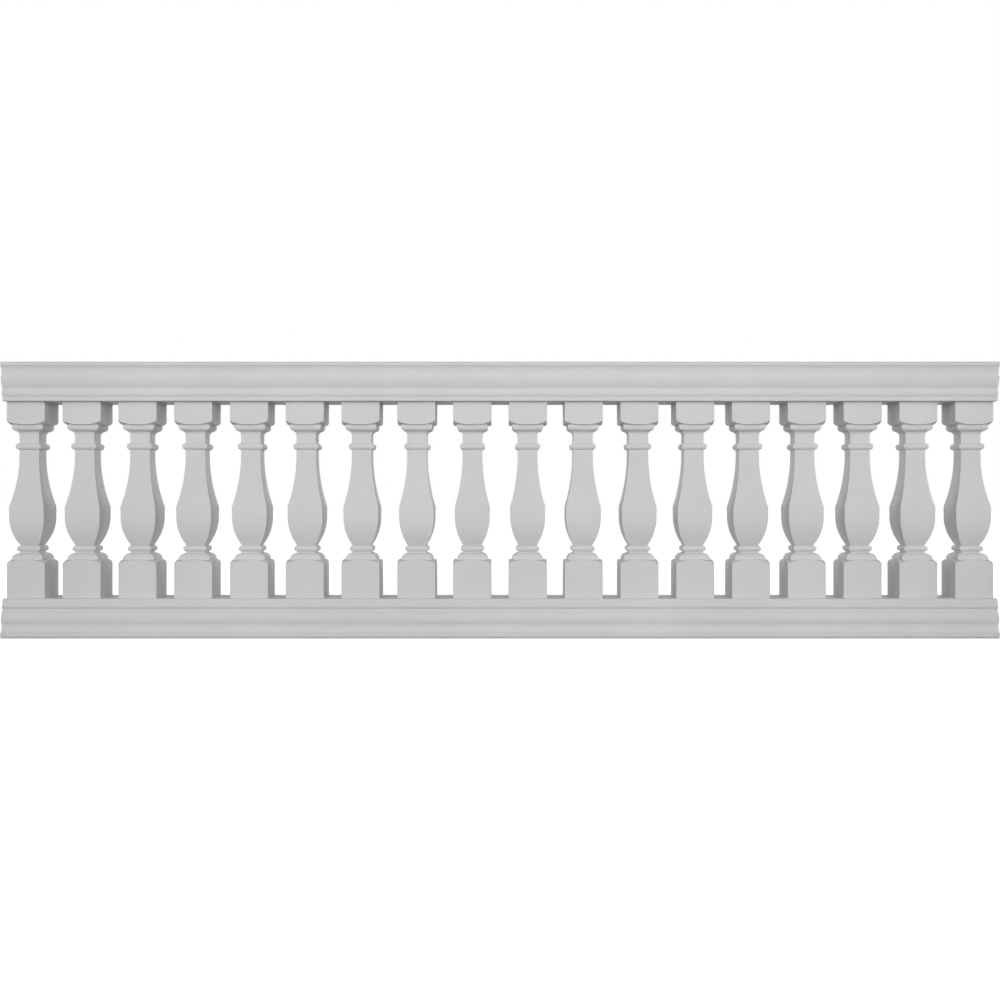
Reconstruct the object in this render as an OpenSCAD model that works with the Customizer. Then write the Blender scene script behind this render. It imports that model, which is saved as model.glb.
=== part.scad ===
// One bay of a moulded fiberglass balustrade: a moulded handrail, a moulded
// bottom rail and a row of square vase balusters standing between them.
// X runs along the rails, -Y is the front, Z is up, and the origin is in the
// middle of the underside of the bottom rail.

/* [Overall] */
// Length of both rails, which are cut plain so that the next bay or a post butts up to them
rail_length = 3300; // [2400:10:4500]
// Height from the underside of the bottom rail to the top of the handrail
guard_height = 915; // [840:1:1200]
// Depth of the rails across their widest fillets
rail_w = 207; // [190:1:260]
// Depth of the flat rail faces that the balusters stand between
seat_w = 171; // [140:1:186]
// Number of balusters in the bay
baluster_count = 18; // [3:1:24]
// Clear rail between each end of the bay and the first block
end_margin = 5.5; // [0:0.5:60]

/* [Handrail mouldings, from the top down] */
// Height of the top fillet
cap_fillet_h = 12.5; // [10:0.5:25]
// How far the fillet oversails the cavetto
cap_quirk = 2; // [2:0.5:4]
// Height of the rounded part of the cavetto
cavetto_h = 25; // [15:0.5:50]
// Height of the upright foot of the cavetto
cavetto_foot_h = 10; // [2:0.5:20]
// Depth of the cavetto
cavetto_d = 8; // [4:0.5:12]
// Step out from the foot of the cavetto to the ovolo
ovolo_step = 5; // [2:0.5:7]
// Height of the ovolo
ovolo_h = 38.5; // [20:0.5:60]
// Height of the fascia under the ovolo
fascia_h = 8; // [3:0.5:25]
// How far the fascia stands proud of the foot fillet
fascia_out = 1; // [0.5:0.5:3]
// Height of the bead under the fascia, above its widest point
top_bead_above = 8.5; // [4:0.5:12]
// Height of that bead below its widest point
top_bead_below = 13; // [9:0.5:20]
// How far that bead stands proud of the foot fillet
top_bead_out = 5; // [3.5:0.5:8]
// Height of the foot fillet
foot_fillet_h = 13.8; // [8:0.1:25]

/* [Bottom rail mouldings, from the floor up] */
// Height of the plinth
plinth_h = 18; // [10:0.5:40]
// How far the plinth oversails the scotia
plinth_quirk = 2; // [2:0.5:4]
// Height of the scotia
scotia_h = 21.5; // [12:0.5:40]
// Depth of the scotia
scotia_d = 9.5; // [5:0.5:12]
// Height of the fillet between the scotia and the torus
scotia_fillet_h = 7.5; // [4:0.5:20]
// How far the torus stands proud of the seat fillet
torus_out = 11.5; // [8:0.5:16]
// Height of the torus below its widest point
torus_below = 16; // [8:0.5:20]
// Height of the torus above its widest point
torus_above = 26.4; // [20:0.1:40]
// Height of the band between the torus and the bead
band_h = 7.6; // [4:0.1:20]
// Height of the bead
rail_bead_h = 16.8; // [10:0.1:24]
// How far the bead stands proud of the seat fillet
rail_bead_out = 4.5; // [2:0.5:7]
// Height of the seat fillet, up to the ledge that the balusters stand on
seat_fillet_h = 16.2; // [8:0.1:30]

/* [Baluster] */
// Side of the square blocks at the top and bottom
block_w = 127; // [116:1:150]
// Height of the bottom block
base_block_h = 128; // [80:1:160]
// Height of the top block
cap_block_h = 76.7; // [50:0.1:110]
// Distance in from the faces of a block at which its turned rounding starts
block_round_inset = 8.5; // [1:0.5:12]
// How far beyond the corners of a block its turned rounding would stand upright
block_round_past = 15; // [4:0.5:24]
// Radius of the arrises down the four corners of the blocks
block_arris_r = 1.5; // [0.5:0.1:4]
// Side of the torus on the bottom block
base_torus_w = 104; // [90:1:112]
// Height of the upright part of that torus
base_torus_foot_h = 1; // [0.5:0.5:10]
// Height of the rounded part of that torus
base_torus_h = 20.5; // [12:0.5:26]
// Side of the neck between the torus and the lower ring
low_neck_w = 63; // [50:1:70]
// Height of that neck
low_neck_h = 5.7; // [3:0.1:12]
// Height of the lower ring
low_ring_h = 19.2; // [12:0.1:24]
// Side of the lower ring at its widest
low_ring_w = 78.4; // [72:0.2:86]
// Side of the foot of the belly, on the lower ring
belly_foot_w = 59.4; // [50:0.2:66]
// Height of the curved part of the belly
belly_h = 95.6; // [80:0.1:120]
// Side of the belly at its widest
belly_w = 116; // [90:1:122]
// Height of the upright band at the top of the belly
belly_band_h = 35; // [10:1:50]
// Side of the neck at the top of the vase
neck_w = 65.6; // [58:0.2:76]
// Height of the upright neck between the vase and the upper ring
under_ring_h = 16.5; // [6:0.5:30]
// Height of the upper ring
ring_h = 21.5; // [14:0.5:26]
// Side of the upper ring at its widest
ring_w = 84.4; // [78:0.2:92]
// Height of the neck above the upper ring
over_ring_h = 28; // [15:0.5:50]
// Height of the cavetto at the top of the neck
neck_cavetto_h = 13.5; // [9.5:0.5:20]
// Side at which that cavetto turns into the ovolo below the top block
ogee_turn_w = 84; // [80:0.5:92]
// Height of the rounded part of that ovolo
cap_ovolo_h = 12.5; // [10.5:0.5:24]
// Side of that ovolo at its widest
cap_ovolo_w = 104; // [96:0.5:108]
// Height of the upright part of that ovolo
cap_ovolo_top_h = 7; // [2:0.5:16]

/* [Rail edges] */
// Radius of the top edges of the handrail and the bottom edges of the bottom rail
outer_arris_r = 8; // [2:0.5:10]
// Radius of the edges next to the balusters
inner_arris_r = 3; // [1:0.5:5]
// Radius of the edges of the two widest fillets where they turn in to the moulding
fillet_arris_r = 1.5; // [0.5:0.5:1.5]

/* [Hidden] */
// Facets along each kind of round stretch
long_steps = 14;
mid_steps = 9;
short_steps = 6;
arris_steps = 4;
// How far cutters run past what they cut, and the shaft runs into its blocks
over = 1;

// Heights of the two rails, and where the balusters start and end
bottom_rail_h = plinth_h + scotia_h + scotia_fillet_h + torus_below + torus_above
    + band_h + rail_bead_h + seat_fillet_h;
top_rail_h = cap_fillet_h + cavetto_h + cavetto_foot_h + ovolo_h + fascia_h
    + top_bead_above + top_bead_below + foot_fillet_h;
seat_z = bottom_rail_h;
soffit_z = guard_height - top_rail_h;
baluster_h = soffit_z - seat_z;

// Even spacing of the balusters between the two end margins
pitch = (rail_length - 2 * end_margin - block_w) / (baluster_count - 1);
function baluster_x(i) = (i - (baluster_count - 1) / 2) * pitch;
function baluster_name(i) = str("baluster_", i < 9 ? "0" : "", i + 1);

// Turned rounding of the blocks: where it starts, and its radius
block_round_start = block_w / 2 - block_round_inset;
block_round_r = block_w / sqrt(2) + block_round_past - block_round_start;

// Points of an elliptical arc about (cx, cy), from angle a0 to angle a1
function arc(cx, cy, rx, ry, a0, a1, steps) = [
    for (i = [0:steps])
        let (a = a0 + (a1 - a0) * i / steps)
        [cx + rx * cos(a), cy + ry * sin(a)]
];

// Radius of a round stretch that bulges by `rise` at `reach` from its crown
function bulge_r(rise, reach) = (reach * reach + rise * rise) / (2 * rise);

// Points of a round bulge: its crown is at (crown, cy), and it runs from
// `below` under that height to `above` over it
function bulge(crown, cy, r, below, above, steps) =
    arc(crown - r, cy, r, r, -asin(below / r), asin(above / r), steps);

// Points of a hollow: it is upright at (x, cy) and runs `height` up from there,
// or down if `height` is negative
function hollow(x, cy, r, height, steps) =
    arc(x + r, cy, r, r, 180, 180 - asin(height / r), steps);

// Points of a half-round ring of height h on a shaft whose half side is
// `lower` below it and `upper` above it
function ring(lower, upper, crown, z, h, steps) = concat(
    arc(lower, z + h / 2, crown - lower, h / 2, -90, 0, steps),
    arc(upper, z + h / 2, crown - upper, h / 2, 0, 90, steps)
);

// A rounded right-hand corner whose sharp point would be (x, y): a lower
// corner starts at -90 degrees, an upper one at 0
function arris(x, y, r, start) =
    arc(x - r, start < 0 ? y + r : y - r, r, r, start, start + 90, arris_steps);

function reversed(points) = [for (i = [len(points) - 1:-1:0]) points[i]];
function mirrored(points) = [for (p = points) [-p[0], p[1]]];

// A closed outline from its right-hand half, listed from the bottom up
function both_sides(half) = concat(half, reversed(mirrored(half)));

// Right-hand half of the bottom rail's section, from the floor up
bead_r = bulge_r(rail_bead_out, rail_bead_h / 2);
torus_r = bulge_r(torus_out, torus_above);
scotia_z = plinth_h;
scotia_top_z = scotia_z + scotia_h;
torus_z = scotia_top_z + scotia_fillet_h + torus_below;
band_z = torus_z + torus_above;
bead_z = band_z + band_h + rail_bead_h / 2;
scotia_out_y = rail_w / 2 - plinth_quirk;
scotia_in_y = scotia_out_y - scotia_d;
bottom_rail_half = concat(
    arris(rail_w / 2, 0, outer_arris_r, -90),
    arris(rail_w / 2, plinth_h, fillet_arris_r, 0),
    arc(scotia_out_y, scotia_top_z, scotia_d, scotia_h, 270, 180, mid_steps),
    [[scotia_in_y, scotia_top_z + scotia_fillet_h]],
    bulge(seat_w / 2 + torus_out, torus_z, torus_r, torus_below, torus_above, long_steps),
    bulge(seat_w / 2 + rail_bead_out, bead_z, bead_r, rail_bead_h / 2, rail_bead_h / 2, mid_steps),
    arris(seat_w / 2, bottom_rail_h, inner_arris_r, 0)
);

// Right-hand half of the handrail's section, from its underside up
top_bead_z = soffit_z + foot_fillet_h + top_bead_below;
fascia_z = top_bead_z + top_bead_above;
ovolo_z = fascia_z + fascia_h;
ovolo_crown_z = ovolo_z + ovolo_h;
cavetto_z = ovolo_crown_z + cavetto_foot_h;
cap_z = cavetto_z + cavetto_h;
cavetto_in_y = rail_w / 2 - cap_quirk - cavetto_d;
ovolo_out_y = cavetto_in_y + ovolo_step;
fascia_y = seat_w / 2 + fascia_out;
top_bead_r = bulge_r(top_bead_out, top_bead_below);
ovolo_r = bulge_r(ovolo_out_y - fascia_y, ovolo_h);
cavetto_r = bulge_r(cavetto_d, cavetto_h);
top_rail_half = concat(
    arris(seat_w / 2, soffit_z, inner_arris_r, -90),
    bulge(seat_w / 2 + top_bead_out, top_bead_z, top_bead_r, top_bead_below, top_bead_above, mid_steps),
    [[fascia_y, fascia_z]],
    bulge(ovolo_out_y, ovolo_crown_z, ovolo_r, ovolo_h, 0, long_steps),
    [[cavetto_in_y, ovolo_crown_z]],
    hollow(cavetto_in_y, cavetto_z, cavetto_r, cavetto_h, long_steps),
    arris(rail_w / 2, cap_z, fillet_arris_r, -90),
    arris(rail_w / 2, guard_height, outer_arris_r, 0)
);

// Heights up the baluster, from its foot
torus_foot_z = base_block_h + base_torus_foot_h;
low_neck_z = torus_foot_z + base_torus_h;
low_ring_z = low_neck_z + low_neck_h;
belly_z = low_ring_z + low_ring_h;
belly_band_z = belly_z + belly_h;
vase_z = belly_band_z + belly_band_h;
cap_block_z = baluster_h - cap_block_h;
cap_ovolo_z = cap_block_z - cap_ovolo_top_h;
neck_cavetto_z = cap_ovolo_z - cap_ovolo_h - neck_cavetto_h;
ring_z = neck_cavetto_z - over_ring_h - ring_h;
neck_z = ring_z - under_ring_h;
// The vase takes the height that is left between the belly and the neck
vase_h = neck_z - vase_z;
vase_r = bulge_r((belly_w - neck_w) / 2, vase_h);
belly_r = bulge_r((belly_w - belly_foot_w) / 2, belly_h);
cap_ovolo_r = bulge_r((cap_ovolo_w - ogee_turn_w) / 2, cap_ovolo_h);
neck_cavetto_r = bulge_r((ogee_turn_w - neck_w) / 2, neck_cavetto_h);

// Right-hand half of the baluster's outline, without its two blocks
shaft_half = concat(
    [[base_torus_w / 2, base_block_h - over]],
    arc(low_neck_w / 2, torus_foot_z, (base_torus_w - low_neck_w) / 2, base_torus_h, 0, 90, mid_steps),
    ring(low_neck_w / 2, belly_foot_w / 2, low_ring_w / 2, low_ring_z, low_ring_h, short_steps),
    bulge(belly_w / 2, belly_band_z, belly_r, belly_h, 0, long_steps),
    reversed(hollow(neck_w / 2, neck_z, vase_r, -vase_h, long_steps)),
    ring(neck_w / 2, neck_w / 2, ring_w / 2, ring_z, ring_h, short_steps),
    hollow(neck_w / 2, neck_cavetto_z, neck_cavetto_r, neck_cavetto_h, short_steps),
    bulge(cap_ovolo_w / 2, cap_ovolo_z, cap_ovolo_r, cap_ovolo_h, 0, short_steps),
    [[cap_ovolo_w / 2, cap_block_z + over]]
);

// A rail, from its section across Y and Z
module rail(section) {
    rotate([90, 0, 90])
        linear_extrude(height = rail_length, center = true)
            polygon(section);
}

// The ring of material that a lathe would take off the upper corners of a block that ends at z = 0
module corner_waste() {
    rotate_extrude($fn = 96)
        difference() {
            translate([block_round_start, -block_round_r])
                square([block_round_r + over, block_round_r + over]);
            translate([block_round_start, -block_round_r])
                circle(r = block_round_r, $fn = 96);
        }
}

// A square block whose corners are turned down at its upper end
module block(h) {
    half = block_w / 2;
    difference() {
        linear_extrude(height = h)
            polygon(both_sides(concat(
                arris(half, -half, block_arris_r, -90),
                arris(half, half, block_arris_r, 0)
            )));
        translate([0, 0, h])
            corner_waste();
    }
}

// The square shaft: the same outline on all four sides, mitred at the corners
module shaft() {
    intersection() {
        rotate([90, 0, 0])
            linear_extrude(height = belly_w + over, center = true)
                polygon(both_sides(shaft_half));
        rotate([90, 0, 90])
            linear_extrude(height = belly_w + over, center = true)
                polygon(both_sides(shaft_half));
    }
}

module baluster() {
    union() {
        block(base_block_h);
        shaft();
        translate([0, 0, baluster_h])
            mirror([0, 0, 1])
                block(cap_block_h);
    }
}

module bottom_rail() {
    color("gainsboro")
        rail(both_sides(bottom_rail_half));
}

module top_rail() {
    color("gainsboro")
        rail(both_sides(top_rail_half));
}

module placed_baluster(i) {
    color("gainsboro")
        translate([baluster_x(i), 0, seat_z])
            baluster();
}

bottom_rail();
top_rail();
for (i = [0:baluster_count - 1])
    placed_baluster(i);
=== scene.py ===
"""Looks for one bay of fiberglass balustrade.

Satin grey gelcoat on every node, a pale floor, an even room and soft lamps.
Lengths are in metres.
"""
from math import cos, radians, sin

import bpy
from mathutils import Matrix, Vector


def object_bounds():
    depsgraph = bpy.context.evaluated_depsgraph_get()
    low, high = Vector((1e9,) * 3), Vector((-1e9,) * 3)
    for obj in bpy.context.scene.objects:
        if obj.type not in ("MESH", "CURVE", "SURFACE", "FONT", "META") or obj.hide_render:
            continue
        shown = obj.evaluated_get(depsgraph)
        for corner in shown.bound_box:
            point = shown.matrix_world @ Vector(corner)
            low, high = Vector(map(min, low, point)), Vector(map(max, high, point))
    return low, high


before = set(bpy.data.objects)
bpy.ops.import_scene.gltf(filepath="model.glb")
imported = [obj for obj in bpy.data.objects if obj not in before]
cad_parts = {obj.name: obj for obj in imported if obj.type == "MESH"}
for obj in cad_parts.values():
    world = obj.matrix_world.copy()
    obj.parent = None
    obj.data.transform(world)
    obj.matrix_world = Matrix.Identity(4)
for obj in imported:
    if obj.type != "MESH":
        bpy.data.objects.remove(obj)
cad_low, cad_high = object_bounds()

# The object's own measures, from its box
CENTRE = Vector([(lo + hi) / 2 for lo, hi in zip(cad_low, cad_high)])
FLOOR_Z = cad_low[2]

# Camera: square on to the front, at half height
CAMERA_DISTANCE = 4.087
SENSOR_MM = 36.0
LENS_MM = 43.456

# Gelcoat: its colour, how strongly it mirrors, and how its colour and sheen vary
GELCOAT = (0.62, 0.62, 0.62)
GELCOAT_SPECULAR = 0.2
CLOUD_SCALE, CLOUD_RANGE = 3.0, (0.97, 1.03)
FLECK_SCALE, FLECK_RANGE = 420.0, (0.985, 1.015)
SHEEN_SCALE, SHEEN_RANGE = 14.0, (0.52, 0.64)
PEEL_SCALE, PEEL_STRENGTH, PEEL_DEPTH = 260.0, 0.08, 0.0004
NOISE_MIDDLE = (0.3, 0.7)

# Edges: the width of the rounding on arrises, the angle under which an edge
# counts as part of a round stretch, and how near corners are merged
EDGE_ROUND = 0.0012
EDGE_SEGMENTS = 3
SMOOTH_UNDER = radians(32)
MERGE_WITHIN = 1e-5

# Light: an even white room and soft rectangular lamps, each as
# (name, azimuth from the front, elevation, distance, width, height, watts)
ROOM_LEVEL = 0.15
SOFTBOXES = (
    ("key", 0, 10, 4.8, 5.4, 1.0, 114),
    ("high", 0, 34, 4.8, 5.4, 1.6, 29),
    ("front_left", -35, 16, 5.0, 2.5, 1.6, 36),
    ("front_right", 35, 16, 5.0, 2.5, 1.6, 36),
    ("rear_left", -130, 20, 5.0, 2.5, 1.6, 70),
    ("rear_right", 130, 20, 5.0, 2.5, 1.6, 70),
)

# Floor: pale, and filled in for the camera from FILL_NEAR round the object to
# white beyond, so that only shadows show on it
FLOOR_SIZE = 80.0
FLOOR_COLOUR = (0.40, 0.40, 0.40)
FILL_NEAR = 0.80
FILL_FROM = 1.8
FILL_TO = 5.0


def new_material(name):
    """A material with an empty node tree apart from its output."""
    material = bpy.data.materials.new(name)
    material.use_nodes = True
    tree = material.node_tree
    tree.nodes.clear()
    output = tree.nodes.new("ShaderNodeOutputMaterial")
    return material, tree, output


def noise(tree, coords, scale, detail):
    """A 3-D noise texture in metres."""
    node = tree.nodes.new("ShaderNodeTexNoise")
    node.inputs["Scale"].default_value = scale
    node.inputs["Detail"].default_value = detail
    tree.links.new(coords, node.inputs["Vector"])
    return node.outputs["Fac"]


def map_range(tree, value, from_low, from_high, low, high):
    """Maps from_low..from_high to low..high, and keeps inside it."""
    node = tree.nodes.new("ShaderNodeMapRange")
    node.inputs["From Min"].default_value = from_low
    node.inputs["From Max"].default_value = from_high
    node.inputs["To Min"].default_value = low
    node.inputs["To Max"].default_value = high
    tree.links.new(value, node.inputs["Value"])
    return node.outputs["Result"]


def spread(tree, value, low, high):
    """Maps the middle of a noise, where most of it lies, to low..high."""
    return map_range(tree, value, *NOISE_MIDDLE, low, high)


def times(tree, a, b):
    """The product of two values."""
    node = tree.nodes.new("ShaderNodeMath")
    node.operation = "MULTIPLY"
    tree.links.new(a, node.inputs[0])
    tree.links.new(b, node.inputs[1])
    return node.outputs[0]


def gelcoat():
    """Satin grey gelcoat: faint cloudiness, fine flecks, orange peel and uneven sheen."""
    material, tree, output = new_material("gelcoat")
    place = tree.nodes.new("ShaderNodeNewGeometry").outputs["Position"]
    clouds = spread(tree, noise(tree, place, CLOUD_SCALE, 4), *CLOUD_RANGE)
    flecks = spread(tree, noise(tree, place, FLECK_SCALE, 2), *FLECK_RANGE)
    shade = times(tree, clouds, flecks)
    tint = tree.nodes.new("ShaderNodeVectorMath")
    tint.operation = "SCALE"
    tint.inputs[0].default_value = GELCOAT
    tree.links.new(shade, tint.inputs["Scale"])
    peel = tree.nodes.new("ShaderNodeBump")
    peel.inputs["Strength"].default_value = PEEL_STRENGTH
    peel.inputs["Distance"].default_value = PEEL_DEPTH
    tree.links.new(noise(tree, place, PEEL_SCALE, 3), peel.inputs["Height"])
    shader = tree.nodes.new("ShaderNodeBsdfPrincipled")
    shader.inputs["Specular IOR Level"].default_value = GELCOAT_SPECULAR
    tree.links.new(tint.outputs[0], shader.inputs["Base Color"])
    sheen = spread(tree, noise(tree, place, SHEEN_SCALE, 3), *SHEEN_RANGE)
    tree.links.new(sheen, shader.inputs["Roughness"])
    tree.links.new(peel.outputs[0], shader.inputs["Normal"])
    tree.links.new(shader.outputs[0], output.inputs["Surface"])
    return material


def edge_smoothing():
    """Geometry nodes that merge split corners and smooth all but the sharp edges."""
    tree = bpy.data.node_groups.new("smooth_round_stretches", "GeometryNodeTree")
    tree.interface.new_socket("Geometry", in_out="INPUT", socket_type="NodeSocketGeometry")
    tree.interface.new_socket("Geometry", in_out="OUTPUT", socket_type="NodeSocketGeometry")
    start = tree.nodes.new("NodeGroupInput")
    merge = tree.nodes.new("GeometryNodeMergeByDistance")
    merge.inputs["Distance"].default_value = MERGE_WITHIN
    angle = tree.nodes.new("GeometryNodeInputMeshEdgeAngle")
    sharp = tree.nodes.new("FunctionNodeCompare")
    sharp.operation = "LESS_EQUAL"
    sharp.inputs["B"].default_value = SMOOTH_UNDER
    faces = tree.nodes.new("GeometryNodeSetShadeSmooth")
    faces.domain = "FACE"
    edges = tree.nodes.new("GeometryNodeSetShadeSmooth")
    edges.domain = "EDGE"
    end = tree.nodes.new("NodeGroupOutput")
    link = tree.links.new
    link(start.outputs[0], merge.inputs["Geometry"])
    link(merge.outputs[0], faces.inputs["Geometry"])
    link(faces.outputs[0], edges.inputs["Geometry"])
    link(angle.outputs["Unsigned Angle"], sharp.inputs["A"])
    link(sharp.outputs["Result"], edges.inputs["Shade Smooth"])
    link(edges.outputs[0], end.inputs[0])
    return tree


def finish_nodes(material, smoothing):
    """Gives every CAD node its gelcoat, smooth round stretches and small rounded arrises."""
    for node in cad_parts.values():
        node.data.materials.clear()
        node.data.materials.append(material)
        smooth = node.modifiers.new("smooth", "NODES")
        smooth.node_group = smoothing
        arris = node.modifiers.new("arris", "BEVEL")
        arris.width = EDGE_ROUND
        arris.segments = EDGE_SEGMENTS
        arris.limit_method = "ANGLE"
        arris.angle_limit = SMOOTH_UNDER
        arris.use_clamp_overlap = True
        arris.harden_normals = True


def camera_only(tree):
    """A value that is 1 for the rays of the camera, mirrors and glass, and 0 for the rest."""
    path = tree.nodes.new("ShaderNodeLightPath")
    either = path.outputs["Is Camera Ray"]
    for name in ("Is Glossy Ray", "Is Transmission Ray"):
        node = tree.nodes.new("ShaderNodeMath")
        node.operation = "MAXIMUM"
        tree.links.new(either, node.inputs[0])
        tree.links.new(path.outputs[name], node.inputs[1])
        either = node.outputs[0]
    return either


def floor():
    """A pale floor that reads as white and keeps the object's shadow."""
    bpy.ops.mesh.primitive_plane_add(size=FLOOR_SIZE, location=(0, 0, FLOOR_Z))
    plane = bpy.context.object
    plane.name = "floor"
    material, tree, output = new_material("floor")
    matt = tree.nodes.new("ShaderNodeBsdfDiffuse")
    matt.inputs["Color"].default_value = (*FLOOR_COLOUR, 1)
    place = tree.nodes.new("ShaderNodeNewGeometry").outputs["Position"]
    reach = tree.nodes.new("ShaderNodeVectorMath")
    reach.operation = "LENGTH"
    tree.links.new(place, reach.inputs[0])
    level = map_range(tree, reach.outputs["Value"], FILL_FROM, FILL_TO, FILL_NEAR, 1.0)
    fill = tree.nodes.new("ShaderNodeEmission")
    tree.links.new(times(tree, level, camera_only(tree)), fill.inputs["Strength"])
    both = tree.nodes.new("ShaderNodeAddShader")
    tree.links.new(matt.outputs[0], both.inputs[0])
    tree.links.new(fill.outputs[0], both.inputs[1])
    tree.links.new(both.outputs[0], output.inputs["Surface"])
    plane.data.materials.append(material)


def room():
    """An even white world, seen by the camera as plain white."""
    world = bpy.data.worlds.new("room")
    bpy.context.scene.world = world
    world.use_nodes = True
    tree = world.node_tree
    tree.nodes.clear()
    output = tree.nodes.new("ShaderNodeOutputWorld")
    light = tree.nodes.new("ShaderNodeBackground")
    light.inputs["Color"].default_value = (1, 1, 1, 1)
    level = map_range(tree, camera_only(tree), 0.0, 1.0, ROOM_LEVEL, 1.0)
    tree.links.new(level, light.inputs["Strength"])
    tree.links.new(light.outputs[0], output.inputs["Surface"])


def softboxes():
    """Lamps that face the middle of the object and show in no picture or mirror."""
    for name, azimuth, elevation, distance, width, height, watts in SOFTBOXES:
        lamp = bpy.data.lights.new(name, "AREA")
        lamp.shape = "RECTANGLE"
        lamp.size = width
        lamp.size_y = height
        lamp.energy = watts
        turn, tilt = radians(azimuth), radians(elevation)
        out = Vector((cos(tilt) * sin(turn), -cos(tilt) * cos(turn), sin(tilt)))
        holder = bpy.data.objects.new(name, lamp)
        holder.location = CENTRE + out * distance
        holder.rotation_euler = out.to_track_quat("Z", "Y").to_euler()
        holder.visible_camera = False
        holder.visible_glossy = False
        bpy.context.scene.collection.objects.link(holder)


def camera():
    """The camera of the photo."""
    data = bpy.data.cameras.new("camera")
    data.sensor_width = SENSOR_MM
    data.lens = LENS_MM
    eye = bpy.data.objects.new("camera", data)
    eye.location = CENTRE + Vector((0, -CAMERA_DISTANCE, 0))
    eye.rotation_euler = (radians(90), 0, 0)
    bpy.context.scene.collection.objects.link(eye)
    bpy.context.scene.camera = eye


camera()
room()
softboxes()
floor()
finish_nodes(gelcoat(), edge_smoothing())
bpy.context.scene.view_settings.view_transform = "Standard"
